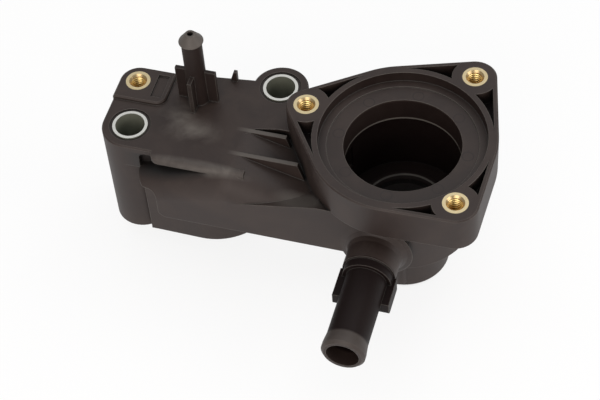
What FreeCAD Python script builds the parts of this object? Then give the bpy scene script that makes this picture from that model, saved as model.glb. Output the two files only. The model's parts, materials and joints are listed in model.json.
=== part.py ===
"""Coolant outlet housing of a small petrol engine, in millimetres.

One moulding of glass-filled polyamide with four brass thread inserts and two
steel compression sleeves.  The origin is on the axis of the big mouth, at the
face that the outlet cover bolts to.  +Z points out of the mouth, +X away from
the bolted block and -Y along the heater hose pipe.
"""
import FreeCAD, Part
import math
import os
import Sketcher

doc = FreeCAD.newDocument("coolant_outlet_housing")


# Sizes: one named cell for each size that can be set by itself

SIZES = {
    # cover flange
    "flange_radius": 32.2,
    "flange_depth": 14.3,
    "flange_depth_duct_side": 18.5,
    "flange_undercut_start": -24.0,
    "flange_edge": 0.5,
    "lobe_a_x": -35.4,
    "lobe_a_y": 6.3,
    "lobe_a_radius": 7.0,
    "lobe_b_x": 17.8,
    "lobe_b_y": 31.5,
    "lobe_b_radius": 7.6,
    "lobe_c_x": 23.6,
    "lobe_c_y": -23.8,
    "lobe_c_radius": 7.9,
    "rim_bore_radius": 28.7,
    "rim_bore_depth": 4.1,
    "seal_land_radius": 25.8,
    "seal_land_depth": 4.6,
    "seat_bore_radius": 20.1,
    "core_pocket_depth": 6.0,
    "core_pocket_wall": 1.6,
    "core_pocket_inner_wall": 2.0,
    "insert_boss_radius": 8.0,
    # chamber under the flange
    "chamber_radius": 25.4,
    "chamber_wall": 3.0,
    "chamber_bottom": -40.3,
    "chamber_cone_radius": 21.0,
    "chamber_cone_depth": 3.2,
    "spigot_radius": 16.1,
    "spigot_end": -63.6,
    "spigot_edge": 0.8,
    "bypass_bore_radius": 13.0,
    "bypass_collar_radius": 16.0,
    "bypass_collar_mouth": 14.2,
    "bypass_collar_top": -37.7,
    # bolted block
    "deck_level": -10.0,
    "mount_level": -54.3,
    "bolt_left_x": -95.6,
    "bolt_left_y": -8.3,
    "bolt_right_x": -49.2,
    "bolt_right_y": 20.2,
    "bolt_boss_radius": 9.9,
    "pad_insert_x": -98.9,
    "pad_insert_y": 10.7,
    "pad_corner_radius": 6.6,
    "block_back_y": 21.7,
    "block_back_x": -59.0,
    "deck_front_y": -21.4,
    "deck_front_left_x": -84.6,
    "deck_front_corner": 3.2,
    "deck_front_right_x": -57.0,
    "deck_front_end_x": -50.6,
    "deck_front_end_y": -18.8,
    "deck_edge_radius": 2.0,
    "deck_lip": 2.4,
    "deck_lip_reach": 3.2,
    "deck_hollow_depth": 2.2,
    "deck_hollow_right_x": -66.8,
    "deck_hollow_round": 2.5,
    "deck_rib_lead": 2.8,
    "deck_edge": 0.5,
    "deck_depth": 10.0,
    "deck_behind_rib_y": 1.4,
    "deck_corner_x": -44.5,
    "deck_right_x": -30.0,
    "deck_back_right_y": 14.0,
    # raised pad with the fourth insert
    "pad_height": 1.5,
    "pad_front_y": 2.1,
    "pad_right_x": -86.6,
    "pad_round": 3.6,
    "date_seat_x": -90.4,
    "date_seat_y": 9.9,
    "date_seat_width": 4.0,
    "date_seat_length": 10.2,
    "date_seat_depth": 0.8,
    # engine port
    "port_x": -70.2,
    "port_y": 2.9,
    "port_boss_radius": 21.4,
    "port_boss_height": 24.0,
    "port_web_x": -86.2,
    "port_web_y": -14.9,
    "port_web_radius": 3.3,
    "port_bore_radius": 16.4,
    "port_cavity_roof": -14.0,
    "seal_groove_inner_radius": 17.6,
    "seal_groove_width": 2.4,
    "seal_groove_depth": 1.9,
    # duct from the block to the chamber
    "duct_front_y": -26.6,
    "duct_back_y": 12.0,
    "duct_floor": -34.6,
    "duct_wall": 3.0,
    "duct_end_x": -8.5,
    "duct_low_x": -28.0,
    "duct_low_roof": -18.5,
    "duct_shoulder": 9.0,
    "duct_bend": 12.0,
    "duct_crest_left_x": -58.2,
    "duct_crest_right_x": -54.5,
    "duct_left_x": -89.5,
    "duct_left_roof": -19.0,
    "duct_corner": 7.5,
    "duct_arch_x": -81.8,
    "duct_arch_radius": 3.0,
    "duct_arch_foot": 3.0,
    "duct_arch_crown": -22.0,
    # throat: the rising corner where the duct runs in under the flange
    "throat_start_x": -58.0,
    "throat_start_top": -20.5,
    "throat_knee_x": -34.0,
    "throat_knee_top": -15.6,
    "throat_full_x": -24.0,
    "throat_top": -13.4,
    "throat_back_y": -13.0,
    "throat_fall": 5.1,
    "throat_foot": -30.0,
    # stiffening ribs
    "rib_back_y": -1.4,
    "rib_front_y": -12.2,
    "rib_thickness": 1.6,
    "rib_back_end_x": -40.8,
    "rib_front_end_x": -33.7,
    "rib_start_x": -59.0,
    "rib_foot_run": 2.8,
    # heater hose pipe
    "pipe_x": -3.0,
    "pipe_level": -30.0,
    "pipe_radius": 7.1,
    "pipe_bore_radius": 5.6,
    "pipe_end_y": -71.0,
    "pipe_bead_radius": 7.55,
    "pipe_bead_length": 6.6,
    "pipe_bead_land": 2.6,
    "pipe_lip": 1.0,
    "pipe_bore_end_y": -11.2,
    "pipe_root_flare": 3.5,
    "pipe_root_depth": 6.0,
    "pipe_collar_radius": 9.2,
    "pipe_collar_end_y": -36.8,
    "pipe_step_radius": 8.5,
    "pipe_step_end_y": -40.0,
    "pipe_wing_half_span": 9.75,
    "pipe_wing_length": 8.2,
    "pipe_wing_height": 6.0,
    "pipe_wing_round": 2.4,
    # vent nipple
    "vent_x": -75.8,
    "vent_y": 9.2,
    "vent_top": 22.4,
    "vent_root_radius": 3.9,
    "vent_neck_radius": 3.6,
    "vent_barb_radius": 4.3,
    "vent_barb_level": 18.9,
    "vent_tip_radius": 1.7,
    "vent_bore_radius": 1.05,
    "vent_fin_span": 7.3,
    "vent_fin_thickness": 1.4,
    "vent_fin_height": 14.5,
    # small moulded details
    "peg_x": -66.3,
    "peg_length": 2.9,
    "peg_width": 1.4,
    "peg_height": 4.5,
    "peg_tip_length": 1.2,
    "peg_inset": 1.0,
    "gate_x": 2.5,
    "gate_radius": 2.0,
    "gate_top": -52.0,
    "gate_bottom": -61.0,
    "gate_inset": 1.0,
    # steel sleeves
    "sleeve_radius": 6.2,
    "sleeve_bore_radius": 5.15,
    "sleeve_recess_radius": 7.3,
    "sleeve_recess_depth": 0.6,
    # brass inserts
    "insert_radius": 4.36,
    "insert_length": 10.0,
    "insert_bore_radius": 2.5,
    "insert_mouth_radius": 3.2,
    # fit between the metal pieces and the moulding
    "mould_clearance": 0.02,
    # how far a cutting or hidden outline reaches past the surface it meets
    "overrun": 1.0,
}

sheet = doc.addObject("Spreadsheet::Sheet", "sizes")
for row, (alias, number) in enumerate(SIZES.items(), start=1):
    sheet.set("A%d" % row, alias)
    sheet.set("B%d" % row, str(number))
    sheet.setAlias("B%d" % row, alias)
doc.recompute()


class Size:
    """A size from the sheet, or worked out from sizes, with its formula."""

    def __init__(self, value, text):
        self.value = value
        self.text = text

    def __add__(self, other):
        other = size(other)
        return Size(self.value + other.value, "(%s + %s)" % (self.text, other.text))

    def __sub__(self, other):
        other = size(other)
        return Size(self.value - other.value, "(%s - %s)" % (self.text, other.text))

    def __mul__(self, factor):
        return Size(self.value * factor, "(%s * %s)" % (self.text, factor))

    def __neg__(self):
        return Size(-self.value, "(-1 * %s)" % self.text)


def size(thing):
    """The Size for an alias, a plain number or a Size."""
    if isinstance(thing, Size):
        return thing
    if isinstance(thing, str):
        return Size(float(sheet.get(thing)), "sizes." + thing)
    return Size(float(thing), str(float(thing)))


ZERO = size(0)


# Sketch helpers: every point and radius is tied to the sheet

def origin_plane(body, role):
    return [part for part in body.Origin.OriginFeatures if part.Role == role][0]


def new_sketch(body, name, role, x=ZERO, y=ZERO, z=ZERO):
    """A sketch on an origin plane, moved by x, y, z in the plane's own axes."""
    sketch = body.newObject("Sketcher::SketchObject", name)
    sketch.AttachmentSupport = (origin_plane(body, role), [""])
    sketch.MapMode = "FlatFace"
    for axis, offset in (("x", x), ("y", y), ("z", z)):
        if offset is not ZERO:
            sketch.setExpression("AttachmentOffset.Base." + axis, size(offset).text)
    return sketch


def flat_sketch(body, name, level=ZERO):
    """A sketch that lies flat at the given height."""
    return new_sketch(body, name, "XY_Plane", z=level)


def front_sketch(body, name, y=ZERO, x=ZERO):
    """An upright sketch facing -Y: its axes are X and Z."""
    return new_sketch(body, name, "XZ_Plane", x=x, z=-size(y))


def side_sketch(body, name, x):
    """An upright sketch facing +X: its axes are Y and Z."""
    return new_sketch(body, name, "YZ_Plane", z=x)


def bind(sketch, kind, places, value):
    value = size(value)
    index = sketch.addConstraint(Sketcher.Constraint(kind, *places, value.value))
    sketch.setExpression("Constraints[%d]" % index, value.text)


def bind_point(sketch, geometry, point, x, y):
    bind(sketch, "DistanceX", (-1, 1, geometry, point), x)
    bind(sketch, "DistanceY", (-1, 1, geometry, point), y)


def circle(sketch, x, y, radius):
    x, y, radius = size(x), size(y), size(radius)
    centre = FreeCAD.Vector(x.value, y.value, 0)
    geometry = sketch.addGeometry(Part.Circle(centre, FreeCAD.Vector(0, 0, 1), radius.value))
    bind_point(sketch, geometry, 3, x, y)
    bind(sketch, "Radius", (geometry,), radius)


def arc_through(start, end, radius):
    """The anticlockwise arc of less than half a turn from start to end."""
    chord = end - start
    reach = math.sqrt(max(radius ** 2 - chord.Length ** 2 / 4, 0))
    middle = (start + end) * 0.5
    normal = FreeCAD.Vector(-chord.y, chord.x, 0).normalize()
    centre = middle + normal * reach
    angles = [math.atan2(p.y - centre.y, p.x - centre.x) for p in (start, end)]
    ring = Part.Circle(centre, FreeCAD.Vector(0, 0, 1), radius)
    return Part.ArcOfCircle(ring, angles[0], angles[1])


def outline(sketch, corners):
    """A closed outline through (x, y) corners, listed anticlockwise.

    A corner with a third entry starts an arc of that radius to the next one.
    A positive radius bulges outwards and a negative one inwards.
    """
    points = [FreeCAD.Vector(size(c[0]).value, size(c[1]).value, 0) for c in corners]
    ends = []
    for index, corner in enumerate(corners):
        start, end = points[index], points[(index + 1) % len(points)]
        if len(corner) == 2:
            geometry = sketch.addGeometry(Part.LineSegment(start, end))
            ends.append((geometry, 1, 2))
            continue
        radius = size(corner[2])
        outward = radius.value > 0
        arc = arc_through(start, end, radius.value) if outward else arc_through(end, start, -radius.value)
        geometry = sketch.addGeometry(arc)
        ends.append((geometry, 1, 2) if outward else (geometry, 2, 1))
        bind(sketch, "Radius", (geometry,), radius if outward else -radius)
    for index, (geometry, start, end) in enumerate(ends):
        following, following_start, unused = ends[(index + 1) % len(ends)]
        sketch.addConstraint(Sketcher.Constraint("Coincident", geometry, end, following, following_start))
        bind_point(sketch, geometry, start, corners[index][0], corners[index][1])


def rectangle(sketch, left, bottom, right, top):
    outline(sketch, [(left, bottom), (right, bottom), (right, top), (left, top)])


def hull(sketch, first, second):
    """Two circles, each (x, y, radius), wrapped by their outer tangents."""
    first = [size(value) for value in first]
    second = [size(value) for value in second]
    across = FreeCAD.Vector(second[0].value - first[0].value, second[1].value - first[1].value, 0)
    heading = math.atan2(across.y, across.x)
    spread = math.acos((first[2].value - second[2].value) / across.Length)
    arcs = []
    for place, begin, finish in ((first, heading + spread, heading - spread + 2 * math.pi),
                                 (second, heading - spread, heading + spread)):
        centre = FreeCAD.Vector(place[0].value, place[1].value, 0)
        ring = Part.Circle(centre, FreeCAD.Vector(0, 0, 1), place[2].value)
        arc = sketch.addGeometry(Part.ArcOfCircle(ring, begin, finish))
        bind_point(sketch, arc, 3, place[0], place[1])
        bind(sketch, "Radius", (arc,), place[2])
        arcs.append(arc)

    def rim(place, angle):
        return FreeCAD.Vector(place[0].value + place[2].value * math.cos(angle),
                              place[1].value + place[2].value * math.sin(angle), 0)

    upper, lower = heading + spread, heading - spread
    low_line = sketch.addGeometry(Part.LineSegment(rim(first, lower), rim(second, lower)))
    high_line = sketch.addGeometry(Part.LineSegment(rim(second, upper), rim(first, upper)))
    for arc, arc_end, line, line_end in ((arcs[0], 2, low_line, 1), (arcs[1], 1, low_line, 2),
                                         (arcs[1], 2, high_line, 1), (arcs[0], 1, high_line, 2)):
        sketch.addConstraint(Sketcher.Constraint("Tangent", arc, arc_end, line, line_end))


# Feature helpers

NEAR_ENOUGH = 0.05


def volume(body):
    return body.Shape.Volume if body.Tip else 0.0


def finish(body, feature, name, grows):
    """Recompute, and check that the feature did add or remove material."""
    before = volume(body) if body.Tip is not feature else finish.last.get(body.Name, 0.0)
    doc.recompute()
    if not feature.isValid() or feature.Shape.isNull():
        raise RuntimeError("feature %s of %s failed" % (name, body.Label))
    change = feature.Shape.Volume - before
    if (change > 0) != grows:
        raise RuntimeError("feature %s of %s changed nothing" % (name, body.Label))
    finish.last[body.Name] = feature.Shape.Volume
    return feature


finish.last = {}


def pad(body, sketch, name, length, down=False, middle=False):
    feature = body.newObject("PartDesign::Pad", name)
    feature.Profile = sketch
    feature.setExpression("Length", size(length).text)
    feature.Reversed = down
    feature.Midplane = middle
    return finish(body, feature, name, True)


def pocket(body, sketch, name, length, up=False):
    feature = body.newObject("PartDesign::Pocket", name)
    feature.Profile = sketch
    feature.setExpression("Length", size(length).text)
    feature.Reversed = up
    return finish(body, feature, name, False)


def turned(body, sketch, name, cut=False):
    """A full turn of the sketch about its own upright axis."""
    kind = "PartDesign::Groove" if cut else "PartDesign::Revolution"
    feature = body.newObject(kind, name)
    feature.Profile = sketch
    feature.ReferenceAxis = (sketch, ["V_Axis"])
    feature.Angle = 360
    return finish(body, feature, name, not cut)


def cut_by(body, tool, name):
    feature = body.newObject("PartDesign::Boolean", name)
    feature.Type = "Cut"
    feature.setObjects([tool])
    return finish(body, feature, name, False)


def ruled(body, sketches, name):
    """Straight-sided body from sketch to sketch."""
    feature = body.newObject("PartDesign::AdditiveLoft", name)
    feature.Profile = sketches[0]
    feature.Sections = sketches[1:]
    feature.Ruled = True
    return finish(body, feature, name, True)


def middle_point(edge):
    return edge.valueAt((edge.FirstParameter + edge.LastParameter) / 2)


def dress_edges(body, kind, name, property_name, value, wanted):
    """Dress the edges of the body so far that the wanted test picks out."""
    base = body.Tip
    names = ["Edge%d" % number for number, edge in enumerate(base.Shape.Edges, start=1) if wanted(edge)]
    if not names:
        raise RuntimeError("no edge found for %s" % name)
    feature = body.newObject(kind, name)
    feature.Base = (base, names)
    feature.setExpression(property_name, size(value).text)
    doc.recompute()
    if not feature.isValid():
        raise RuntimeError("feature %s of %s failed" % (name, body.Label))
    finish.last[body.Name] = feature.Shape.Volume
    return feature


def round_edges(body, name, radius, wanted):
    return dress_edges(body, "PartDesign::Fillet", name, "Radius", radius, wanted)


def bevel_edges(body, name, width, wanted):
    return dress_edges(body, "PartDesign::Chamfer", name, "Size", width, wanted)


def near(value, target):
    return abs(value - target) < NEAR_ENOUGH


def is_rim(shape, edge, level):
    """Whether a flat top at this level meets an upright wall below it at the edge."""
    if not (near(edge.BoundBox.ZMin, level.value) and near(edge.BoundBox.ZMax, level.value)):
        return False
    for face in shape.ancestorsOfType(edge, Part.Face):
        u_min, u_max, v_min, v_max = face.ParameterRange
        upright = near(face.normalAt((u_min + u_max) / 2, (v_min + v_max) / 2).z, 0)
        if upright and near(face.BoundBox.ZMax, level.value):
            return True
    return False


# Places that several features share

deck = size("deck_level")
mount = size("mount_level")
ring = (ZERO, ZERO, size("flange_radius"))
lobes = {name: (size("lobe_%s_x" % name), size("lobe_%s_y" % name), size("lobe_%s_radius" % name))
         for name in "abc"}
bolt_left = (size("bolt_left_x"), size("bolt_left_y"), size("bolt_boss_radius"))
bolt_right = (size("bolt_right_x"), size("bolt_right_y"), size("bolt_boss_radius"))
pad_corner = (size("pad_insert_x"), size("pad_insert_y"), size("pad_corner_radius"))
port = (size("port_x"), size("port_y"), size("port_boss_radius"))
pad_level = deck + "pad_height"
inserts = {
    "thread_insert_left": (lobes["a"][0], lobes["a"][1], ZERO),
    "thread_insert_rear": (lobes["b"][0], lobes["b"][1], ZERO),
    "thread_insert_front": (lobes["c"][0], lobes["c"][1], ZERO),
    "thread_insert_pad": (pad_corner[0], pad_corner[1], pad_level),
}
sleeves = {"bolt_sleeve_left": bolt_left, "bolt_sleeve_right": bolt_right}


# Block: bolt columns, the wall between them and the flat deck on top

def add_block(body):
    height = deck - mount
    sketch = flat_sketch(body, "left_columns", deck)
    hull(sketch, bolt_left, pad_corner)
    pad(body, sketch, "left_columns_pad", height, down=True)

    block_front = bolt_left[1] - "bolt_boss_radius"
    pad_back = pad_corner[1] + "pad_corner_radius"
    sketch = flat_sketch(body, "block_walls", deck)
    outline(sketch, [(bolt_left[0], bolt_left[1]), ("duct_left_x", bolt_left[1]),
                     ("duct_left_x", block_front), (port[0], block_front), (bolt_right[0], port[1]),
                     (bolt_right[0], "block_back_y"), ("block_back_x", "block_back_y"),
                     (pad_corner[0], pad_back)])
    pad(body, sketch, "block_walls_pad", height, down=True)

    sketch = flat_sketch(body, "right_column", deck)
    circle(sketch, *bolt_right)
    pad(body, sketch, "right_column_pad", height, down=True)

    front, left, right = size("deck_front_y"), size("deck_front_left_x"), size("deck_front_right_x")
    turn = size("deck_edge_radius")
    rib_half = size("rib_thickness") * 0.5
    sketch = flat_sketch(body, "deck_plan", deck)
    outline(sketch, [(bolt_left[0], block_front), (right, block_front),
                     (right, "rib_back_y"), (right + "deck_rib_lead", size("rib_back_y") + rib_half),
                     ("deck_corner_x", "deck_behind_rib_y"), ("deck_right_x", "deck_behind_rib_y"),
                     ("deck_right_x", "deck_back_right_y"),
                     (bolt_right[0] + "bolt_boss_radius", "deck_back_right_y"),
                     (bolt_right[0], "block_back_y"), ("block_back_x", "block_back_y")])
    pad(body, sketch, "deck_pad", "deck_depth", down=True)

    wall, lip = front + "deck_lip_reach", deck - "deck_lip"
    sketch = side_sketch(body, "deck_front", left)
    outline(sketch, [(wall, deck - "deck_depth"), (port[1], deck - "deck_depth"), (port[1], deck),
                     (front + turn, deck, turn), (front, deck - turn), (front, lip), (wall, lip)])
    pad(body, sketch, "deck_front_pad", right - left + "overrun")

    sketch = side_sketch(body, "deck_front_end", right)
    outline(sketch, [(front, lip), ("deck_front_end_y", lip), ("deck_front_end_y", deck),
                     (front + turn, deck, turn), (front, deck - turn)])
    pad(body, sketch, "deck_front_end_pad", size("deck_front_end_x") - right)

    sketch = flat_sketch(body, "deck_front_corner", deck)
    cut_corner(sketch, left, front, size("deck_front_corner"))
    pocket(body, sketch, "deck_front_corner_cut", "deck_lip")

    # The hollow that the lip roofs: its floor is the duct's own sloping roof
    hollow, bend = size("duct_left_x"), size("deck_hollow_round")
    sketch = front_sketch(body, "deck_hollow", block_front)
    outline(sketch, [(hollow, "duct_left_roof"), ("deck_hollow_right_x", lip),
                     (hollow + bend, lip, bend), (hollow, lip - bend)])
    pocket(body, sketch, "deck_hollow_cut", "deck_hollow_depth")


def cut_corner(sketch, left, front, radius):
    """The waste outside a rounded front left corner."""
    outside, before = left - "overrun", front - "overrun"
    outline(sketch, [(outside, before), (left + radius, before), (left + radius, front, -radius),
                     (left, front + radius), (outside, front + radius)])


def add_port_boss(body):
    web = (size("port_web_x"), size("port_web_y"), size("port_web_radius"))
    for name, column in (("left", web), ("right", bolt_right)):
        sketch = flat_sketch(body, "port_boss_" + name, mount)
        hull(sketch, port, column)
        pad(body, sketch, "port_boss_%s_pad" % name, "port_boss_height")


# Duct: a hump-backed wall from the block to the chamber, rounded along the front

def add_duct(body):
    front, back, floor = size("duct_front_y"), size("duct_back_y"), size("duct_floor")
    low_roof = size("duct_low_roof")
    bends = [size(name) for name in ("duct_low_x", "duct_crest_right_x", "duct_crest_left_x")]
    sketch = front_sketch(body, "duct_side", front)
    outline(sketch, [("duct_left_x", floor), ("duct_end_x", floor), ("duct_end_x", low_roof),
                     (bends[0], low_roof), (bends[1], deck), (bends[2], deck),
                     ("duct_left_x", "duct_left_roof")])
    pad(body, sketch, "duct_pad", back - front, down=True)

    def at_bend(edge):
        point = middle_point(edge)
        across = near(edge.BoundBox.XLength, 0) and near(edge.BoundBox.ZLength, 0)
        return across and any(near(point.x, bend.value) for bend in bends)
    round_edges(body, "duct_bends", "duct_bend", at_bend)

    def at_front_top(edge):
        flat = near(edge.BoundBox.YMin, front.value) and near(edge.BoundBox.YMax, front.value)
        upright = near(edge.BoundBox.XLength, 0)
        return flat and not upright and not near(edge.BoundBox.ZMin, floor.value)
    round_edges(body, "duct_shoulder_round", "duct_shoulder", at_front_top)

    sketch = flat_sketch(body, "duct_corner", deck)
    cut_corner(sketch, size("duct_left_x"), front, size("duct_corner"))
    pocket(body, sketch, "duct_corner_cut", deck - floor + "overrun")

    block_front = bolt_left[1] - "bolt_boss_radius"
    sketch = front_sketch(body, "duct_arch", block_front)
    arch, radius = size("duct_arch_x"), size("duct_arch_radius")
    crown = size("duct_arch_crown")
    outside, below = size("duct_left_x") - "overrun", floor - "overrun"
    foot = size("duct_arch_foot")
    outline(sketch, [(outside, below), (arch + foot, below), (arch + foot, floor, -foot),
                     (arch, floor + foot), (arch, crown - radius, radius),
                     (arch - radius, crown), (outside, crown)])
    pocket(body, sketch, "duct_arch_cut", block_front - front + "overrun", up=True)


# Cover flange with three lobes, over the round chamber

def add_flange(body):
    sketch = flat_sketch(body, "flange_duct_side")
    hull(sketch, ring, lobes["a"])
    pad(body, sketch, "flange_duct_side_pad", "flange_depth_duct_side", down=True)

    sketch = flat_sketch(body, "flange_undercut", -size("flange_depth"))
    reach = size("flange_radius") + "overrun"
    rectangle(sketch, "flange_undercut_start", -reach, reach, reach)
    pocket(body, sketch, "flange_undercut_cut", size("flange_depth_duct_side") - "flange_depth")

    for name in "bc":
        sketch = flat_sketch(body, "flange_lobe_" + name)
        hull(sketch, ring, lobes[name])
        pad(body, sketch, "flange_lobe_%s_pad" % name, "flange_depth", down=True)

    def on_face_rim(edge):
        return near(edge.BoundBox.ZMin, 0) and near(edge.BoundBox.ZMax, 0)
    bevel_edges(body, "flange_rim_bevel", "flange_edge", on_face_rim)


def add_throat(body):
    """The duct's front corner, which rises and sharpens towards the flange."""
    front, back, foot = size("duct_front_y"), size("throat_back_y"), size("throat_foot")
    sketches = []
    for name, x, top in (("start", "throat_start_x", "throat_start_top"),
                         ("knee", "throat_knee_x", "throat_knee_top"),
                         ("full", "throat_full_x", "throat_top"), ("end", "duct_end_x", "throat_top")):
        top = size(top)
        sketch = side_sketch(body, "throat_" + name, x)
        outline(sketch, [(front, foot), (back, foot), (back, top - "throat_fall"), (front, top)])
        sketches.append(sketch)
    ruled(body, sketches, "throat_loft")


def add_chamber(body):
    sketch = front_sketch(body, "chamber_profile")
    radius, bottom = size("chamber_radius"), size("chamber_bottom")
    cone, under = size("chamber_cone_radius"), bottom - "chamber_cone_depth"
    spigot, end, edge = size("spigot_radius"), size("spigot_end"), size("spigot_edge")
    outline(sketch, [(ZERO, end), (spigot - edge, end), (spigot, end + edge), (spigot, under),
                     (cone, under), (radius, bottom), (radius, deck), (ZERO, deck)])
    turned(body, sketch, "chamber_turn")

    sketch = flat_sketch(body, "gate_mark", "gate_bottom")
    circle(sketch, "gate_x", -spigot + "gate_inset", "gate_radius")
    pad(body, sketch, "gate_mark_pad", size("gate_top") - "gate_bottom")


# Heater hose pipe with its stepped root, stop wings and end bead

def add_pipe(body):
    end = size("pipe_end_y")
    bead_start = end + "pipe_bead_length"
    bead_land = end + "pipe_bead_land"
    sketch = new_sketch(body, "pipe_profile", "XY_Plane", x="pipe_x", z="pipe_level")
    root, flare = size("duct_front_y"), size("pipe_root_flare")
    collar = size("pipe_collar_radius")
    inside = root + "pipe_root_depth"
    flare_steps = [(collar + flare * (1 - math.cos(math.radians(angle))),
                    root - flare * (1 - math.sin(math.radians(angle)))) for angle in (0, 30, 60, 90)]
    outline(sketch, [(ZERO, end), (size("pipe_bore_radius") + "pipe_lip", end),
                     ("pipe_bead_radius", end + "pipe_lip"), ("pipe_bead_radius", bead_land),
                     ("pipe_radius", bead_start), ("pipe_radius", "pipe_step_end_y"),
                     ("pipe_step_radius", "pipe_step_end_y"), ("pipe_step_radius", "pipe_collar_end_y"),
                     (collar, "pipe_collar_end_y")] + flare_steps + [(collar, inside), (ZERO, inside)])
    turned(body, sketch, "pipe_turn")

    back = size("pipe_collar_end_y")
    toe = size("pipe_step_end_y") - "pipe_wing_length"
    level, turn = size("pipe_level"), size("pipe_wing_round")
    under = level - "pipe_wing_height"
    sketch = side_sketch(body, "pipe_wings", "pipe_x")
    outline(sketch, [(toe + turn, under), (back, under), (back, level), (toe, level),
                     (toe, under + turn, turn)])
    pad(body, sketch, "pipe_wings_pad", size("pipe_wing_half_span") * 2, middle=True)


# Vent nipple with its crossed fins

def add_vent(body):
    sketch = front_sketch(body, "vent_profile", "vent_y", x="vent_x")
    barb, fin_top = size("vent_barb_level"), deck + "vent_fin_height"
    hidden = deck - "overrun"
    outline(sketch, [(ZERO, hidden), ("vent_root_radius", hidden), ("vent_root_radius", deck),
                     ("vent_neck_radius", fin_top), ("vent_neck_radius", barb), ("vent_barb_radius", barb),
                     ("vent_tip_radius", "vent_top"), (ZERO, "vent_top")])
    turned(body, sketch, "vent_turn")

    x, y = size("vent_x"), size("vent_y")
    span, half = size("vent_fin_span"), size("vent_fin_thickness") * 0.5
    for name, reach_x, reach_y in (("along", span, half), ("across", half, span)):
        sketch = flat_sketch(body, "vent_fins_" + name, deck)
        rectangle(sketch, x - reach_x, y - reach_y, x + reach_x, y + reach_y)
        pad(body, sketch, "vent_fins_%s_pad" % name, "vent_fin_height")


# Ribs, raised pad and small moulded details

def add_ribs(body):
    left = size("rib_start_x")
    foot = size("duct_low_roof") - "overrun"
    for name, end in (("back", "rib_back_end_x"), ("front", "rib_front_end_x")):
        end = size(end)
        sketch = front_sketch(body, "rib_" + name, "rib_%s_y" % name)
        outline(sketch, [(left, foot), (end + "rib_foot_run", foot), (end, deck), (left, deck)])
        pad(body, sketch, "rib_%s_pad" % name, "rib_thickness", middle=True)


def add_raised_pad(body):
    sketch = flat_sketch(body, "raised_pad", deck)
    left = pad_corner[0] - "pad_corner_radius"
    back = pad_corner[1] + "pad_corner_radius"
    right, front, turn = size("pad_right_x"), size("pad_front_y"), size("pad_round")
    outline(sketch, [(left, front), (right - turn, front, turn), (right, front + turn), (right, back),
                     (pad_corner[0], back, "pad_corner_radius"), (left, pad_corner[1])])
    pad(body, sketch, "raised_pad_pad", "pad_height")


def cut_date_seat(body):
    sketch = flat_sketch(body, "date_seat", pad_level)
    x, y = size("date_seat_x"), size("date_seat_y")
    half_width, half_length = size("date_seat_width") * 0.5, size("date_seat_length") * 0.5
    rectangle(sketch, x - half_width, y - half_length, x + half_width, y + half_length)
    pocket(body, sketch, "date_seat_cut", "date_seat_depth")


def add_peg(body):
    x, half = size("peg_x"), size("peg_length") * 0.5
    back = size("block_back_y") - "peg_inset"
    sketch = front_sketch(body, "peg", back)
    hidden, tip = deck - "overrun", deck + "peg_height"
    outline(sketch, [(x - half, hidden), (x + half, hidden), (x + half, tip),
                     (x + half - "peg_tip_length", tip)])
    pad(body, sketch, "peg_pad", "peg_width")


# Openings cut from the outside

def cut_mouth(body):
    for name, radius, depth in (("rim_bore", "rim_bore_radius", "rim_bore_depth"),
                                ("seal_land", "seal_land_radius", "seal_land_depth")):
        sketch = flat_sketch(body, name)
        circle(sketch, ZERO, ZERO, radius)
        pocket(body, sketch, name + "_cut", depth)


def cut_sleeve_seats(body):
    for name, (x, y, unused) in sleeves.items():
        sketch = flat_sketch(body, name + "_recess", deck)
        circle(sketch, x, y, "sleeve_recess_radius")
        pocket(body, sketch, name + "_recess_cut", "sleeve_recess_depth")
        sketch = flat_sketch(body, name + "_seat", deck)
        circle(sketch, x, y, size("sleeve_radius") + "mould_clearance")
        pocket(body, sketch, name + "_seat_cut", deck - mount)


def cut_insert_seats(body):
    for name, (x, y, level) in inserts.items():
        sketch = flat_sketch(body, name + "_seat", level)
        circle(sketch, x, y, size("insert_radius") + "mould_clearance")
        pocket(body, sketch, name + "_seat_cut", size("insert_length") + "mould_clearance")


def cut_seal_groove(body):
    inner = size("seal_groove_inner_radius")
    sketch = flat_sketch(body, "seal_groove", mount)
    circle(sketch, port[0], port[1], inner + "seal_groove_width")
    circle(sketch, port[0], port[1], inner)
    pocket(body, sketch, "seal_groove_cut", "seal_groove_depth", up=True)


# Cores: the mould parts that leave the water space and the six flange pockets

def make_pocket_core():
    body = doc.addObject("PartDesign::Body", "pocket_core")
    wall = size("core_pocket_wall")
    for name, (x, y, radius) in lobes.items():
        sketch = flat_sketch(body, "core_lobe_" + name)
        hull(sketch, (ZERO, ZERO, ring[2] - wall), (x, y, radius - wall))
        pad(body, sketch, "core_lobe_%s_pad" % name, "core_pocket_depth", down=True)
    sketch = flat_sketch(body, "core_mouth")
    circle(sketch, ZERO, ZERO, size("rim_bore_radius") + "core_pocket_inner_wall")
    pocket(body, sketch, "core_mouth_cut", "core_pocket_depth")
    for name, (x, y, unused) in lobes.items():
        sketch = flat_sketch(body, "core_boss_" + name)
        circle(sketch, x, y, "insert_boss_radius")
        pocket(body, sketch, "core_boss_%s_cut" % name, "core_pocket_depth")
    return body


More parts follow.
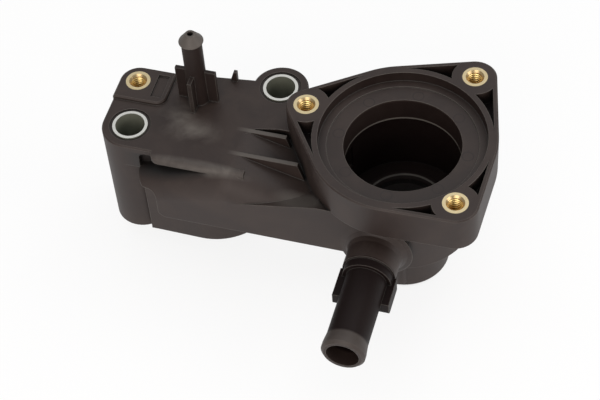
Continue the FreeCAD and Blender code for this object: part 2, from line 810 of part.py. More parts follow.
def make_water_core():
    body = doc.addObject("PartDesign::Body", "water_core")
    wall = size("chamber_wall")
    sketch = front_sketch(body, "chamber_space")
    seat, room = size("seat_bore_radius"), size("chamber_radius") - wall
    floor, under = size("chamber_bottom"), -size("flange_depth")
    bypass, outlet = size("bypass_bore_radius"), size("spigot_end") - "overrun"
    collar, collar_top = size("bypass_collar_radius"), size("bypass_collar_top")
    collar_mouth = size("bypass_collar_mouth")
    outline(sketch, [(ZERO, outlet), (bypass, outlet), (bypass, collar_top + bypass - collar_mouth),
                     (collar_mouth, collar_top), (collar, collar_top), (collar, floor), (room, floor),
                     (room, under), (seat, under), (seat, ZERO), (ZERO, ZERO)])
    turned(body, sketch, "chamber_space_turn")

    sketch = flat_sketch(body, "port_space", mount - "overrun")
    circle(sketch, port[0], port[1], "port_bore_radius")
    pad(body, sketch, "port_space_pad", size("port_cavity_roof") - mount + "overrun")

    duct_wall = size("duct_wall")
    front, back = size("duct_front_y") + duct_wall, size("duct_back_y") - duct_wall
    floor, roof = size("duct_floor") + duct_wall, size("duct_low_roof") - duct_wall
    shoulder = size("duct_shoulder") - duct_wall
    sketch = side_sketch(body, "duct_space", port[0])
    outline(sketch, [(front, floor), (back, floor), (back, roof), (front + shoulder, roof, shoulder),
                     (front, roof - shoulder)])
    pad(body, sketch, "duct_space_pad", size("duct_end_x") - port[0])

    outside = size("pipe_end_y") - "overrun"
    sketch = front_sketch(body, "pipe_space", outside)
    circle(sketch, "pipe_x", "pipe_level", "pipe_bore_radius")
    pad(body, sketch, "pipe_space_pad", size("pipe_bore_end_y") - outside, down=True)

    inside = size("port_cavity_roof") - "overrun"
    sketch = flat_sketch(body, "vent_space", inside)
    circle(sketch, "vent_x", "vent_y", "vent_bore_radius")
    pad(body, sketch, "vent_space_pad", size("vent_top") + "overrun" - inside)
    return body


def bevel_deck(body):
    """Break the outer edges of the deck and of the raised pad on it."""
    shape = body.Tip.Shape

    def on_deck_rim(edge):
        point = middle_point(edge)
        outside = point.x < bolt_left[0].value or point.y > pad_corner[1].value
        on_pad = is_rim(shape, edge, pad_level)
        return on_pad or (outside and is_rim(shape, edge, deck))
    bevel_edges(body, "deck_rim_bevel", "deck_edge", on_deck_rim)


# The sub-parts

def make_housing():
    body = doc.addObject("PartDesign::Body", "housing")
    add_duct(body)
    add_block(body)
    add_raised_pad(body)
    bevel_deck(body)
    add_port_boss(body)
    add_flange(body)
    add_throat(body)
    add_chamber(body)
    add_pipe(body)
    add_ribs(body)
    add_vent(body)
    add_peg(body)
    cut_date_seat(body)
    cut_mouth(body)
    cut_sleeve_seats(body)
    cut_insert_seats(body)
    cut_seal_groove(body)
    cut_by(body, make_pocket_core(), "flange_pockets")
    cut_by(body, make_water_core(), "water_space")
    return body


def make_sleeve(name, x, y):
    """Rolled steel sleeve that carries the bolt load through the block."""
    body = doc.addObject("PartDesign::Body", name)
    sketch = front_sketch(body, name + "_profile")
    rectangle(sketch, "sleeve_bore_radius", mount - deck, "sleeve_radius", ZERO)
    turned(body, sketch, name + "_turn")
    body.setExpression("Placement.Base.x", x.text)
    body.setExpression("Placement.Base.y", y.text)
    body.setExpression("Placement.Base.z", deck.text)
    return body


def make_insert(name, x, y, level):
    """Turned brass insert: a barrel with a countersunk bore."""
    body = doc.addObject("PartDesign::Body", name)
    bottom = -size("insert_length")
    bore, mouth = size("insert_bore_radius"), size("insert_mouth_radius")
    sketch = front_sketch(body, name + "_profile")
    outline(sketch, [(bore, bottom), ("insert_radius", bottom), ("insert_radius", ZERO), (mouth, ZERO),
                     (bore, bore - mouth)])
    turned(body, sketch, name + "_turn")
    body.setExpression("Placement.Base.x", x.text)
    body.setExpression("Placement.Base.y", y.text)
    body.setExpression("Placement.Base.z", level.text)
    return body


sub_parts = [make_housing()]
sub_parts += [make_sleeve(name, x, y) for name, (x, y, unused) in sleeves.items()]
sub_parts += [make_insert(name, x, y, level) for name, (x, y, level) in inserts.items()]
doc.recompute()

for thing in doc.Objects:
    if "Invalid" in thing.State or "Error" in thing.State:
        raise RuntimeError("%s is %s" % (thing.Label, thing.State))
for body in sub_parts:
    if body.Shape.isNull() or not body.Shape.isValid():
        raise RuntimeError("%s has no valid shape" % body.Label)

os.makedirs("parts", exist_ok=True)
for body in sub_parts:
    body.Shape.exportStep("parts/%s.step" % body.Label)
    print(body.Label, "%.1f mm3" % body.Shape.Volume, len(body.Shape.Solids), "solid")
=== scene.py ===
"""Looks of the moulded coolant outlet housing: finishes, insert threads, set and camera."""
import json
import math
from functools import cached_property

import bpy
from mathutils import Matrix, Vector


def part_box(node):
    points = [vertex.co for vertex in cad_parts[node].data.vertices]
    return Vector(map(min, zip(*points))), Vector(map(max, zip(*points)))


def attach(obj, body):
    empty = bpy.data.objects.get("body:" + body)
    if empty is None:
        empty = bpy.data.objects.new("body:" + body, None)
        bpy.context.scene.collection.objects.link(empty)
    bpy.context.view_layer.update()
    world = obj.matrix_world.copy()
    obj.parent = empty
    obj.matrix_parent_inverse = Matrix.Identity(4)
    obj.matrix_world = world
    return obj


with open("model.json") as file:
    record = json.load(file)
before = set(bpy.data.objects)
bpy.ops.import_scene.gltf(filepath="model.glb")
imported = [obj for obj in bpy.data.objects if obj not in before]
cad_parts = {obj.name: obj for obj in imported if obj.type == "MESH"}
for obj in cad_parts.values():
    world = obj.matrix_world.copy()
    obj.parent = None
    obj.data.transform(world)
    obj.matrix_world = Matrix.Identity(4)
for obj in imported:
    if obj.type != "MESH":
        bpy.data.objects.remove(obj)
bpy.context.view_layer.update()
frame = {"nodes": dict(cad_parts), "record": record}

bl_info = {
    "name": "Coolant Outlet Housing",
    "version": (1, 0, 0),
    "blender": (4, 5, 0),
    "location": "View3D > Sidebar > Housing",
    "description": "Finishes, insert threads and studio set for the coolant outlet housing",
    "category": "Object",
}

MM = 0.001
SLEEVES = ("bolt_sleeve_left", "bolt_sleeve_right")
INSERTS = ("thread_insert_left", "thread_insert_rear", "thread_insert_front", "thread_insert_pad")
MOUNTS = {mount["name"]: mount for mount in frame["record"]["mounts"]}


def place_of(mount):
    """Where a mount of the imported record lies, in millimetres from the middle of the mouth."""
    return [value / MM for value in MOUNTS[mount]["pos_m"]]


def radius_of(mount):
    """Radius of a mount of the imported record, in millimetres."""
    return MOUNTS[mount]["dims"]["r_mm"]


# Axes that count for a distance: seen from above, and along the hose pipe
FROM_ABOVE = (1, 1, 0)
ALONG_PIPE = (1, 0, 1)

# Middles of round forms and lines of the ribs, in millimetres from the middle of the mouth
MOUTH = place_of("mouth")
VENT = place_of("vent_nipple")
PIPE = place_of("hose_pipe")
RIBS_Y = (-1.4, -12.2)
RIB_HALF_WIDTH = 1.0

# Limits of the tones on the moulding, in millimetres from the middle of the mouth: where each
# one ends, and the width over which it fades there
PIPE_ROOT_Y = (-36.0, 1.0)
PIPE_BEAD_Y = (-65.0, 1.0)
PIPE_WALL_RADIUS = (radius_of("hose_pipe") - 0.5, 0.5)
VENT_REACH = (8.0, 0.5)
VENT_ROOT_Z = (-9.0, 1.0)
VENT_CONE_Z = (18.6, 0.5)
MOUTH_FOOT_Z = (-4.6, 0.2)
# Seat bore and water space: painted shade inside the bore
SEAT_WALL_RADIUS = (radius_of("seat_bore") + 0.3, 0.1)
SEAT_TOP_Z = (-5.2, 0.4)
WATER_RADIUS = (23.0, 0.2)
WATER_TOP_Z = (-14.6, 1.0)
WATER_FLOOR_Z = (-41.0, 0.5)
# Height of the painted shade in the hollow under the lip
HOLLOW_TOP_Z = (-12.3, 0.2)
HOLLOW_FLOOR_Z = (-19.5, 1.0)
# Height of the painted light on the slope
SLOPE_TOP_Z = (-12.0, 0.5)
SLOPE_FOOT_Z = (-18.5, 1.0)
DECK_FOOT_Z = (-12.5, 1.0)
RIB_START_X = (-54.0, 5.0)
SPIGOT_WALL_RADIUS = (radius_of("bypass_spigot") - 0.1, 1.0)

# Thin places, in millimetres: the middle of each one and how far it reaches to either side
MOUTH_WALL_RADIUS = (radius_of("mouth"), 0.5)
LAND_Z = (-4.6, 0.3)
# Seat's lower rim and the collar: painted highlights
SEAT_RIM_RADIUS = (radius_of("seat_bore"), 0.5)
SEAT_RIM_Z = (-14.0, 0.6)
COLLAR_RIM_RADIUS = (radius_of("bypass_bore") + 0.8, 1.0)
COLLAR_TOP_Z = (-37.7, 0.3)
# Pocket floors: painted shade
POCKET_FLOOR_Z = (-6.0, 0.3)
RIB_TOP_Z = (-10.0, 0.3)
PIN_RING_RADIUS = (1.9, 0.28)

# Limits without a unit: how far a face looks up, how far an edge bends away from its face where
# the painted edge highlight lies, how open a place is before painted shade falls on it, and where
# the clouds of dust are full
FACES_UP = (0.9, 0.05)
MOSTLY_UP = (0.85, 0.2)
STANDS_UPRIGHT = (0.5, 0.3)
EDGE_BEND = (0.98, 0.15)
RECESS_OPEN = (0.62, 0.52)
CREVICE_OPEN = (0.8, 0.6)
CLOUD_FULL = (0.75, 0.33)

# Oval spots in the plan, in millimetres: middle in X and Y, half length, half width
WASHED_SPOTS = ((-80.5, -2.0, 8.5, 9.0), (-73.0, -6.0, 11.0, 7.5))
# Painted highlight along the lip, broken up by the dust clouds
LIP_SPOT = (-67.0, -20.4, 20.0, 2.9)
# Painted shade in the hollow under the lip
HOLLOW_SPOT = (-76.0, -18.0, 20.0, 6.0)
# Painted light on the slope beside the flange
SLOPE_SPOT = (-29.5, -22.8, 11.0, 5.5)

# Shares of a tone where it doesn't cover its place in full
NIPPLE_SHARE = 0.55
WATER_SHARE = 0.85
SEAT_SHARE = 0.55
MOUTH_SHARE = 0.45
WASHED_SHARE = 0.7
LIP_SHARE = 0.3
SLOPE_SHARE = 0.36
RIM_SHARE = 0.45
COLLAR_SHARE = 0.75
BEAD_SHARE = 0.15
PIN_SHARE = 0.8

# Ejector pins on the seal land
PIN_COUNT = 8
PIN_PLACE_RADIUS = 22.4

# How masks fade and how patterns are drawn
THIN_FADE = 0.4
SPOT_FADE = 0.5
WASHED_FADE = 0.8
CLOUD = {"Detail": 4.0, "Roughness": 0.6, "Distortion": 0.6}
FINE = {"Detail": 2.0}
TURNING_STRETCH = (0.2, 0.2, 1)
MOULDING_GLOSS = (-0.06, 0.12)
METAL_GLOSS = (-0.06, 0.14)
BEVEL_SAMPLES = 6
OPEN_SAMPLES = 8

# Thread ridges
STEPS_PER_TURN = 32
SMOOTH_ANGLE = math.radians(30)

# Set: lights by name, with place and width in metres and tint
LIGHTS = (
    ("key", (-0.1, 0.15, 0.8), 1.3, "#F8FCFF"),
    ("fill", (-0.05, -0.78, 0.4), 0.8, "#FFF6F0"),
    ("side", (0.75, -0.05, 0.3), 0.6, "#FFF9F6"),
    ("back", (0.32, 0.55, 0.7), 0.5, "#FFFDFB"),
)
LIGHT_AIM = (-35 * MM, 0, -20 * MM)
FLOOR_SIZE = 4.0
PAPER_ROUGHNESS = 0.9
CLIP_START = 0.01


# Sizes and colours a user would change

def length(name, description, default):
    return bpy.props.FloatProperty(name=name, description=description, default=default,
                                   subtype="DISTANCE", unit="LENGTH", precision=5)


def angle(name, description, degrees):
    return bpy.props.FloatProperty(name=name, description=description,
                                   default=math.radians(degrees), subtype="ANGLE")


def colour(name, description, default):
    return bpy.props.StringProperty(name=name, description=description, default=default)


def number(name, description, default):
    return bpy.props.FloatProperty(name=name, description=description, default=default)


class MouldingLooks(bpy.types.PropertyGroup):
    dark: colour("Dark tone", "Colour of the moulded plastic", "#2A1F1B")
    light: colour("Light tone", "Colour of its dusty, washed-out patches", "#382D28")
    # Bare tone: darker on pipe, nipple and the mouth's wall, painted shade on pocket floors and in
    # the water space, and the colour of the pin marks
    bare: colour("Bare tone", "Colour where no dust lies: pipe, nipple, bores", "#170E0D")
    # Washed tone: dust on the deck, painted highlights on the lip, rims, cone and edges with their
    # wear, painted light on the slope, and lighter rib tops and bead
    washed: colour("Washed tone", "Colour of dried coolant and dust on deck and rims", "#6E6963")
    # Painted shade in pockets, gaps, inner corners and the hollow under the lip
    recess_shade: colour("Recess tone", "Colour deep in pockets, gaps and corners", "#0D0A09")
    sheen: number("Roughness", "Roughness of the moulded surface", 0.52)
    shine: number("Reflection", "Strength of the plain surface's reflection", 0.42)
    # Reflection strength on the darker places and the painted shade of the bare tone
    dark_places_shine: number("Bare reflection", "Strength of it where no dust lies", 0.14)
    # Edge wear, which also paints a highlight along every edge
    wear: number("Edge wear", "Share of the washed tone along edges", 0.7)
    patch: length("Patch size", "Width of the washed-out patches", 16 * MM)
    recess: length("Recess reach", "How near a wall darkens the surface", 5 * MM)
    crevice: length("Crevice reach", "How near an inner corner darkens it", 1.3 * MM)
    edge: length("Edge softness", "Radius of the worn corner of every edge", 0.45 * MM)
    grain: length("Grain size", "Width of the surface grain", 0.35 * MM)
    grain_depth: length("Grain depth", "Depth of the surface grain", 0.05 * MM)
    grain_share: number("Grain share", "Strength of the surface grain", 0.12)


class MetalLooks(bpy.types.PropertyGroup):
    steel: colour("Steel", "Colour of the sleeves' cut ends", "#D2D0CA")
    steel_wall: colour("Steel wall", "Colour of the sleeves' plated walls", "#85877A")
    steel_sheen: number("Steel roughness", "Roughness of the sleeves", 0.34)
    dull: number("Dull walls", "Share of bare metal on walls that plating dulls", 0.4)
    brass: colour("Brass", "Colour of the inserts' end faces", "#CDBB94")
    brass_wall: colour("Brass wall", "Colour of the inserts' threaded walls", "#C99A4A")
    brass_sheen: number("Brass roughness", "Roughness of the inserts", 0.28)
    bright: number("Bright walls", "Share of bare metal on walls that scatter light", 0.75)
    turning: length("Turning marks", "Spacing of the turning marks", 0.12 * MM)


class ThreadLooks(bpy.types.PropertyGroup):
    pitch: length("Pitch", "Pitch of the insert's thread", 1.0 * MM)
    crest: length("Crest radius", "Radius at the thread's crest", 2.26 * MM)
    root: length("Root radius", "Radius of the bore that the thread stands on", 2.52 * MM)
    share: number("Ridge share", "Share of the pitch that the ridge's foot takes up", 0.6)
    lead: length("Lead-in", "Depth at which the thread starts", 0.75 * MM)
    run: length("Thread length", "Length of the threaded bore", 8.5 * MM)
    tone: colour("Thread brass", "Colour of the cut thread", "#F0D690")
    bright: number("Thread metal", "Share of bare metal on the cut thread", 0.7)
    sheen: number("Thread roughness", "Roughness of the cut thread", 0.3)


class SetLooks(bpy.types.PropertyGroup):
    backdrop: colour("Backdrop", "Colour of the floor", "#FFFFFF")
    glow: number("Backdrop glow", "Share of plain white in the floor's look", 0.85)
    key: number("Key light", "Power of the large light above, in watts", 3.6)
    fill: number("Fill light", "Power of the light in front, in watts", 4.2)
    side: number("Side light", "Power of the light on the right, in watts", 2.2)
    back: number("Back light", "Power of the light behind, in watts", 1.2)
    sky: number("Sky", "Strength of the surrounding light", 0.3)
    lens: bpy.props.FloatProperty(name="Focal length", description="Focal length of the camera",
                                  default=111.42, unit="CAMERA")
    pitch: angle("Look down", "Angle below the horizon", 51.43)
    yaw: angle("Turn", "Angle round the part", 20.0)
    roll: angle("Roll", "Turn about the camera's own axis", -5.22)
    place: bpy.props.FloatVectorProperty(name="Camera place", description="Where the camera stands",
                                         default=(103.6 * MM, -390.4 * MM, 475.2 * MM),
                                         subtype="TRANSLATION")


# Materials

def linear(code):
    """Linear RGBA of an sRGB colour written as #RRGGBB."""
    values = [int(code[i:i + 2], 16) / 255 for i in (1, 3, 5)]
    return [v / 12.92 if v <= 0.04045 else ((v + 0.055) / 1.055) ** 2.4 for v in values] + [1.0]


def assign(names, material):
    for name in names:
        for slot in frame["nodes"][name].material_slots:
            slot.material = material


class Surface:
    """A new material, with masks from zero to one that pick out places on the part."""

    def __init__(self, name, stretch=(1, 1, 1)):
        self.material = bpy.data.materials.new(name)
        self.material.use_nodes = True
        self.shader = self.material.node_tree.nodes["Principled BSDF"]
        self.stretch = stretch

    def connect(self, node, inputs):
        """Sets a node's inputs to numbers and colours, or links them to other outputs."""
        for key, value in inputs.items():
            if isinstance(value, bpy.types.NodeSocket):
                self.material.node_tree.links.new(value, node.inputs[key])
            else:
                node.inputs[key].default_value = value

    def node(self, kind, inputs=None, **settings):
        """The outputs of a new node with its inputs and settings."""
        node = self.material.node_tree.nodes.new("ShaderNode" + kind)
        for key, value in settings.items():
            setattr(node, key, value)
        self.connect(node, inputs or {})
        return node.outputs

    @cached_property
    def where(self):
        """Object coordinates in millimetres, stretched where a pattern runs along an axis."""
        place = self.node("TexCoord")["Object"]
        scale = [share / MM for share in self.stretch]
        return self.node("Mapping", {"Vector": place, "Scale": scale})["Vector"]

    @cached_property
    def axes(self):
        """Its X, Y and Z."""
        return self.node("SeparateXYZ", {"Vector": self.where})

    @cached_property
    def off_axis(self):
        """Distance from the mouth's middle line."""
        return self.distance(MOUTH)

    @cached_property
    def facing(self):
        return self.node("NewGeometry")["Normal"]

    @cached_property
    def upwards(self):
        """One where the surface faces up, zero on walls."""
        return self.node("SeparateXYZ", {"Vector": self.facing})["Z"]

    def distance(self, place, scale=FROM_ABOVE):
        """Distance from a place, with each axis times its scale."""
        off = self.node("VectorMath", {0: self.where, 1: place}, operation="SUBTRACT")["Vector"]
        off = self.node("VectorMath", {0: off, 1: scale}, operation="MULTIPLY")["Vector"]
        return self.node("VectorMath", {0: off}, operation="LENGTH")["Value"]

    def together(self, operation, masks):
        """Masks taken together two by two."""
        result, *others = masks
        for mask in others:
            result = self.node("Math", {0: result, 1: mask}, operation=operation)["Value"]
        return result

    def every(self, *masks):
        """One only where every mask is one."""
        return self.together("MULTIPLY", masks)

    def any_of(self, *masks):
        """One where any mask is one."""
        return self.together("MAXIMUM", masks)

    def rest_of(self, mask):
        """One where the mask is zero, and zero where it is one."""
        return self.together("SUBTRACT", (1.0, mask))

    def above(self, value, limit):
        """One from the limit upwards, fading to zero under it."""
        end, fade = limit
        inputs = {"Value": value, "From Min": end - fade, "From Max": end}
        return self.node("MapRange", inputs)["Result"]

    def below(self, value, limit):
        """One where the value is well below its limit, fading to zero at the limit."""
        return self.rest_of(self.above(value, limit))

    def close_to(self, value, thin_place, fade=THIN_FADE):
        """One at a thin place, fading to zero over the last share of its reach."""
        middle, reach = thin_place
        from_here = self.above(value, (middle - reach * (1 - fade), reach * fade))
        return self.every(from_here, self.below(value, (middle + reach, reach * fade)))

    def oval(self, spot, fade=SPOT_FADE):
        """One in the middle of an oval spot, fading to zero at its rim."""
        x, y, half_length, half_width = spot
        off = self.distance((x, y, 0), (1 / half_length, 1 / half_width, 0))
        return self.below(off, (1.0, fade))

    def layered(self, ground, *layers):
        """A ground colour with others laid over it, each in the share that its mask gives."""
        tone = linear(ground)
        for mask, code in layers:
            inputs = {0: mask, 6: tone, 7: linear(code)}
            tone = self.node("Mix", inputs, data_type="RGBA")[2]
        return tone


class HOUSING_OT_moulding_finish(bpy.types.Operator):
    """Give the moulding the look of dark glass-filled polyamide"""
    bl_idname = "housing.moulding_finish"
    bl_label = "Moulded Finish"

    def execute(self, context):
        # Polyamide with glass fibre, injection moulded: near black with a dull satin reflection,
        # greyer where coolant and dust dried on the deck, darker and browner on hose pipe, nipple and
        # mouth wall, lighter on rib tops and bead. Painted highlights lie along the edges, the lip,
        # the seat's rim, the collar and the nipple's cone, painted light on the slope, and painted
        # shade in pockets, gaps, inner corners, the hollow under the lip and the water space.
        # Its fibre grain, some 0.01 mm wide, is too fine to show, so it is drawn coarser.
        looks = context.scene.housing_moulding
        surface = Surface("glass_filled_polyamide")
        inputs = {"Vector": surface.where, "Scale": MM / looks.patch, **CLOUD}
        noise = surface.node("TexNoise", inputs)["Fac"]
        cloud = surface.above(noise, CLOUD_FULL)
        rounded = surface.node("Bevel", {"Radius": looks.edge}, samples=BEVEL_SAMPLES)["Normal"]
        water = surface.every(surface.below(surface.off_axis, WATER_RADIUS),
                              surface.below(surface.axes["Z"], WATER_TOP_Z))
        # Darker on pipe, nipple and mouth wall, with painted shade on pocket floors and in the water
        # space
        bare = self.dark_and_shaded_places(surface, water)
        # Dust on the deck, painted highlights on lip, rims, cone and edges with their wear, painted
        # light on the slope, and lighter rib tops and bead
        washed = surface.any_of(self.dust_and_painted_light(surface, cloud), self.lighter_rims_and_painted_highlights(surface),
                                self.edge_wear_and_highlight(surface, rounded, water, looks))
        # Tones laid in turn; the last one is painted shade in recesses
        tone = surface.layered(looks.dark, (cloud, looks.light), (bare, looks.bare),
                               (washed, looks.washed), (self.pin_marks(surface), looks.bare),
                               (self.painted_recess_shade(surface, looks), looks.recess_shade))
        inputs = {"Value": bare, "To Min": looks.shine, "To Max": looks.dark_places_shine}
        shine = surface.node("MapRange", inputs)["Result"]
        smooth, rough = [looks.sheen + change for change in MOULDING_GLOSS]
        inputs = {"Value": noise, "To Min": smooth, "To Max": rough}
        gloss = surface.node("MapRange", inputs)["Result"]
        surface.connect(surface.shader, {"Base Color": tone, "Specular IOR Level": shine,
                                         "Roughness": gloss,
                                         "Normal": self.grain(surface, rounded, looks)})
        assign(["housing"], surface.material)
        return {"FINISHED"}

    def dark_and_shaded_places(self, surface, water):
        """Up to one: darker on pipe, nipple and the mouth's wall, painted shade on pockets and below
        the mouth.
        """
        _, y, z = surface.axes
        pipe = surface.every(surface.below(y, PIPE_ROOT_Y), surface.above(y, PIPE_BEAD_Y))
        nipple = surface.every(surface.below(surface.distance(VENT), VENT_REACH),
                               surface.above(z, VENT_ROOT_Z), surface.below(z, VENT_CONE_Z),
                               NIPPLE_SHARE)
        # Painted shade on the seat bore's wall and in the water space
        seat = surface.every(surface.below(surface.off_axis, SEAT_WALL_RADIUS),
                             surface.below(z, SEAT_TOP_Z), SEAT_SHARE)
        chamber = surface.any_of(surface.every(water, WATER_SHARE), seat)
        chamber = surface.every(chamber, surface.above(z, WATER_FLOOR_Z))
        mouth = surface.every(surface.close_to(surface.off_axis, MOUTH_WALL_RADIUS),
                              surface.above(z, MOUTH_FOOT_Z),
                              surface.below(surface.upwards, STANDS_UPRIGHT), MOUTH_SHARE)
        # Painted shade on the pocket floors
        pocket = surface.every(surface.close_to(z, POCKET_FLOOR_Z), surface.upwards)
        return surface.any_of(pipe, nipple, chamber, mouth, pocket)

    def dust_and_painted_light(self, surface, cloud):
        """Up to one on the deck's cloudy spots of dust, a painted highlight on the lip and painted
        light on the slope.
        """
        z = surface.axes["Z"]
        spots = surface.any_of(*[surface.oval(spot, WASHED_FADE) for spot in WASHED_SPOTS])
        # Painted highlight along the lip's rounded edge, broken up by the dust clouds
        streaks = surface.node("MapRange", {"Value": cloud, "To Min": LIP_SHARE})["Result"]
        lip = surface.every(surface.oval(LIP_SPOT), streaks)
        deck = surface.every(surface.any_of(surface.every(spots, cloud), lip),
                             surface.above(z, DECK_FOOT_Z), WASHED_SHARE)
        # Painted light on the slope beside the flange
        slope = surface.every(surface.oval(SLOPE_SPOT), surface.above(surface.upwards, MOSTLY_UP),
                              surface.below(z, SLOPE_TOP_Z), surface.above(z, SLOPE_FOOT_Z),
                              SLOPE_SHARE)
        return surface.any_of(deck, slope)

    def lighter_rims_and_painted_highlights(self, surface):
        """Up to one: lighter on the ribs' tops and bead, painted highlights on seat rim, collar and
        cone.
        """
        x, y, z = surface.axes
        ribs = [surface.close_to(y, (place, RIB_HALF_WIDTH)) for place in RIBS_Y]
        ribs = surface.every(surface.any_of(*ribs), surface.close_to(z, RIB_TOP_Z),
                             surface.above(x, RIB_START_X), surface.above(surface.upwards, FACES_UP),
                             RIM_SHARE)
        # Painted highlight on the seat's lower rim
        seat = surface.every(surface.close_to(surface.off_axis, SEAT_RIM_RADIUS),
                             surface.close_to(z, SEAT_RIM_Z))
        # Painted highlight on the collar
        collar = surface.every(surface.close_to(surface.off_axis, COLLAR_RIM_RADIUS),
                               surface.close_to(z, COLLAR_TOP_Z), COLLAR_SHARE)
        bead = surface.every(surface.below(y, PIPE_BEAD_Y),
                             surface.above(surface.distance(PIPE, ALONG_PIPE), PIPE_WALL_RADIUS),
                             BEAD_SHARE)
        # Painted highlight on the nipple's cone
        cone = surface.every(surface.above(z, VENT_CONE_Z), RIM_SHARE)
        return surface.any_of(ribs, seat, collar, bead, cone)

    def edge_wear_and_highlight(self, surface, rounded, water, looks):
        """Edge wear with a painted highlight: a share of one along the edges, but none in the water
        space.
        """
        inputs = {0: surface.facing, 1: rounded}
        agree = surface.node("VectorMath", inputs, operation="DOT_PRODUCT")["Value"]
        return surface.every(surface.below(agree, EDGE_BEND), looks.wear, surface.rest_of(water))

    def pin_marks(self, surface):
        """Thin rings where the mould's ejector pins met the seal land."""
        x, y, z = surface.axes
        step = 2 * math.pi / PIN_COUNT
        turn = y
        for operation, value in (("ARCTAN2", x), ("ADD", step / 2), ("SNAP", step)):
            turn = surface.node("Math", {0: turn, 1: value}, operation=operation)["Value"]
        inputs = {"Vector": (PIN_PLACE_RADIUS, 0, 0), "Angle": turn}
        pin = surface.node("VectorRotate", inputs, rotation_type="Z_AXIS")["Vector"]
        ring = surface.close_to(surface.distance(pin), PIN_RING_RADIUS, fade=1.0)
        return surface.every(ring, surface.close_to(z, LAND_Z), PIN_SHARE)

    def painted_recess_shade(self, surface, looks):
        """Painted shade: one deep in pockets, gaps and inner corners, and in the hollow under the
        lip.
        """
        z = surface.axes["Z"]
        open_shares = []
        for reach, limit in ((looks.recess, RECESS_OPEN), (looks.crevice, CREVICE_OPEN)):
            inputs = {"Distance": reach}
            light = surface.node("AmbientOcclusion", inputs, samples=OPEN_SAMPLES)["AO"]
            open_shares.append(surface.above(light, limit))
        # Painted shade in the hollow under the lip, added to the shade of near walls
        hollow = surface.every(surface.oval(HOLLOW_SPOT), surface.below(z, HOLLOW_TOP_Z),
                               surface.above(z, HOLLOW_FLOOR_Z))
        return surface.rest_of(surface.every(*open_shares, surface.rest_of(hollow)))

    def grain(self, surface, rounded, looks):
        """The surface's normal, with worn edges and fine grain."""
        inputs = {"Vector": surface.where, "Scale": MM / looks.grain, **FINE}
        height = surface.node("TexNoise", inputs)["Fac"]
        inputs = {"Height": height, "Strength": looks.grain_share, "Distance": looks.grain_depth,
                  "Normal": rounded}
        return surface.node("Bump", inputs)["Normal"]


class HOUSING_OT_metal_finish(bpy.types.Operator):
    """Give the sleeves and inserts the look of plated steel and turned brass"""
    bl_idname = "housing.metal_finish"
    bl_label = "Metal Finish"

    def execute(self, context):
        # Zinc plated steel, rolled to a tube: bright cut ends, and walls that the plating
        # dulls to a greenish grey. Turned brass: pale end faces round golden walls.
        # Turning marks, some 0.02 mm apart, are drawn coarser so that they show.
        looks = context.scene.housing_metal
        steel = (looks.steel, looks.steel_wall, looks.dull, looks.steel_sheen)
        brass = (looks.brass, looks.brass_wall, looks.bright, looks.brass_sheen)
        self.finish("zinc_plated_steel", SLEEVES, *steel, looks.turning)
        self.finish("turned_brass", INSERTS, *brass, looks.turning)
        return {"FINISHED"}

    def finish(self, name, pieces, end, wall, metal, sheen, turning):
        """One tone for end faces and one for walls, with turning marks in the gloss."""
        surface = Surface(name, TURNING_STRETCH)
        flat = surface.node("Math", {0: surface.upwards}, operation="ABSOLUTE")["Value"]
        metallic = surface.node("MapRange", {"Value": flat, "To Min": metal})["Result"]
        inputs = {"Vector": surface.where, "Scale": MM / turning, **FINE}
        marks = surface.node("TexNoise", inputs)["Fac"]
        smooth, rough = [sheen + change for change in METAL_GLOSS]
        inputs = {"Value": marks, "To Min": smooth, "To Max": rough}
        gloss = surface.node("MapRange", inputs)["Result"]
        surface.connect(surface.shader, {"Base Color": surface.layered(wall, (flat, end)),
                                         "Metallic": metallic, "Roughness": gloss})
        assign(pieces, surface.material)


# Thread ridges

class HOUSING_OT_insert_threads(bpy.types.Operator):
    """Wind the thread ridges in the bores of the brass inserts"""
    bl_idname = "housing.insert_threads"
    bl_label = "Insert Threads"

    def execute(self, context):
        # Brass with a cut thread: small bright flanks that catch the light from above.
        looks = context.scene.housing_thread
        brass = Surface("cut_brass_thread")
        brass.connect(brass.shader, {"Base Color": linear(looks.tone), "Metallic": looks.bright,
                                     "Roughness": looks.sheen})
        for name in INSERTS:
            low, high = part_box(name)
            centre = [(low[i] + high[i]) / 2 for i in (0, 1)]
            top = high[2] - looks.lead
            thread = wind_thread(name.replace("thread_insert", "thread"), centre, top, looks)
            thread.data.materials.append(brass.material)
            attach(thread, "root")
        return {"FINISHED"}


def wind_thread(name, centre, top, looks):
    """A helical ridge with closed ends: a triangle swept up the bore."""
    half = looks.pitch * looks.share / 2
    corners = ((looks.root, -half), (looks.crest, 0.0), (looks.root, half))
    bpy.ops.object.select_all(action="DESELECT")
    bpy.ops.mesh.primitive_circle_add(vertices=len(corners), radius=looks.pitch, location=(0, 0, 0))
    thread = bpy.context.object
    thread.name = name
    for vertex, (radius, height) in zip(thread.data.vertices, corners):
        vertex.co = (radius, 0.0, height)
    turns = int(looks.run / looks.pitch) - 1
    screw = thread.modifiers.new("wind", "SCREW")
    screw.axis = "Z"
    screw.screw_offset = looks.pitch
    screw.iterations = turns
    screw.steps = screw.render_steps = STEPS_PER_TURN
    screw.use_merge_vertices = False
    bpy.ops.object.modifier_apply(modifier=screw.name)
    foot = Vector((*centre, top - turns * looks.pitch))
    for vertex in thread.data.vertices:
        vertex.co += foot
    bpy.ops.object.mode_set(mode="EDIT")
    bpy.ops.mesh.select_all(action="SELECT")
    bpy.ops.mesh.fill_holes(sides=len(corners))
    bpy.ops.mesh.normals_make_consistent(inside=False)
    bpy.ops.object.mode_set(mode="OBJECT")
    bpy.ops.object.shade_smooth_by_angle(angle=SMOOTH_ANGLE)
    return thread


# Set

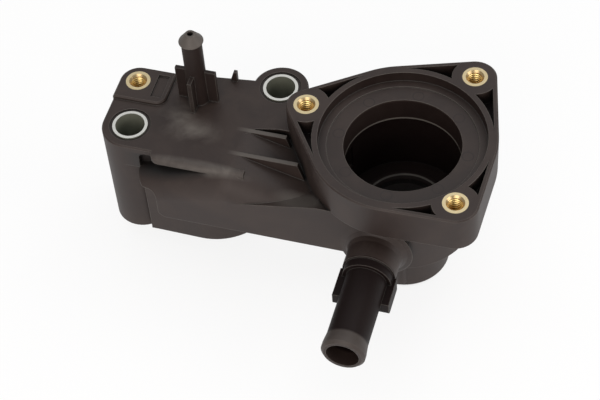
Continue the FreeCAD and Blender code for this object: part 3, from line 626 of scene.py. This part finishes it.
class HOUSING_OT_stage(bpy.types.Operator):
    """Put the part on a pale floor under soft studio light, with the camera in place"""
    bl_idname = "housing.stage"
    bl_label = "Stage"

    def execute(self, context):
        looks = context.scene.housing_set
        self.add_floor(looks)
        for light in LIGHTS:
            self.add_light(*light, looks)
        self.add_sky(context, looks)
        self.add_camera(context, looks)
        context.scene.view_settings.view_transform = "Standard"
        return {"FINISHED"}

    def add_floor(self, looks):
        """A sheet of paper under the part."""
        # Matt white paper: plain white to the eye, with a faint shadow under the part.
        level = min(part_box(name)[0][2] for name in frame["nodes"])
        bpy.ops.object.select_all(action="DESELECT")
        bpy.ops.mesh.primitive_plane_add(size=FLOOR_SIZE, location=(0, 0, level))
        floor = bpy.context.object
        floor.name = "floor"
        paper = Surface("white_backdrop")
        white = linear(looks.backdrop)
        paper.connect(paper.shader, {"Base Color": white, "Roughness": PAPER_ROUGHNESS,
                                     "Specular IOR Level": 0.0})
        glow = paper.every(self.seen_rays(paper), paper.above(paper.off_axis, SPIGOT_WALL_RADIUS),
                           looks.glow)
        plain = paper.node("Emission", {"Color": white, "Strength": 1.0})["Emission"]
        mixed = paper.node("MixShader", {0: glow, 1: paper.shader.outputs["BSDF"], 2: plain})
        output = paper.material.node_tree.nodes["Material Output"]
        paper.connect(output, {"Surface": mixed["Shader"]})
        floor.data.materials.append(paper.material)

    def seen_rays(self, paper):
        """One for the rays that show the backdrop: direct, mirrored or through glass."""
        rays = paper.node("LightPath")
        return paper.any_of(rays["Is Camera Ray"], rays["Is Glossy Ray"], rays["Is Transmission Ray"])

    def add_light(self, name, place, size, tint, looks):
        bpy.ops.object.light_add(type="AREA", location=place)
        light = bpy.context.object
        light.name = name
        light.data.shape = "DISK"
        light.data.size = size
        light.data.energy = getattr(looks, name)
        light.data.color = linear(tint)[:3]
        aim = Vector(LIGHT_AIM) - light.location
        light.rotation_euler = aim.to_track_quat("-Z", "Y").to_euler()

    def add_sky(self, context, looks):
        world = bpy.data.worlds.new("sky")
        world.use_nodes = True
        context.scene.world = world
        air = world.node_tree.nodes["Background"]
        air.inputs["Color"].default_value = linear(looks.backdrop)
        air.inputs["Strength"].default_value = looks.sky

    def add_camera(self, context, looks):
        tilt = math.pi / 2 - looks.pitch
        turn = (Matrix.Rotation(looks.yaw, 3, "Z") @ Matrix.Rotation(tilt, 3, "X")
                @ Matrix.Rotation(looks.roll, 3, "Z"))
        bpy.ops.object.camera_add(location=looks.place, rotation=turn.to_euler())
        camera = bpy.context.object
        camera.data.lens = looks.lens
        camera.data.clip_start = CLIP_START
        context.scene.camera = camera


class HOUSING_PT_panel(bpy.types.Panel):
    """Lists the steps that dress the housing"""
    bl_idname = "HOUSING_PT_panel"
    bl_label = "Coolant Outlet Housing"
    bl_space_type = "VIEW_3D"
    bl_region_type = "UI"
    bl_category = "Housing"

    def draw(self, context):
        for group in GROUPS:
            box = self.layout.box()
            looks = getattr(context.scene, group)
            for key in looks.__annotations__:
                box.prop(looks, key)
        for operator in OPERATORS:
            self.layout.operator(operator.bl_idname)


GROUPS = {
    "housing_moulding": MouldingLooks,
    "housing_metal": MetalLooks,
    "housing_thread": ThreadLooks,
    "housing_set": SetLooks,
}
OPERATORS = (
    HOUSING_OT_moulding_finish,
    HOUSING_OT_metal_finish,
    HOUSING_OT_insert_threads,
    HOUSING_OT_stage,
)


def register():
    for name, group in GROUPS.items():
        bpy.utils.register_class(group)
        setattr(bpy.types.Scene, name, bpy.props.PointerProperty(type=group))
    for kind in (*OPERATORS, HOUSING_PT_panel):
        bpy.utils.register_class(kind)


def unregister():
    for kind in (HOUSING_PT_panel, *reversed(OPERATORS)):
        bpy.utils.unregister_class(kind)
    for name, group in reversed(GROUPS.items()):
        delattr(bpy.types.Scene, name)
        bpy.utils.unregister_class(group)


def main():
    register()
    bpy.ops.housing.moulding_finish()
    bpy.ops.housing.metal_finish()
    bpy.ops.housing.insert_threads()
    bpy.ops.housing.stage()


if __name__ == "__main__":
    main()
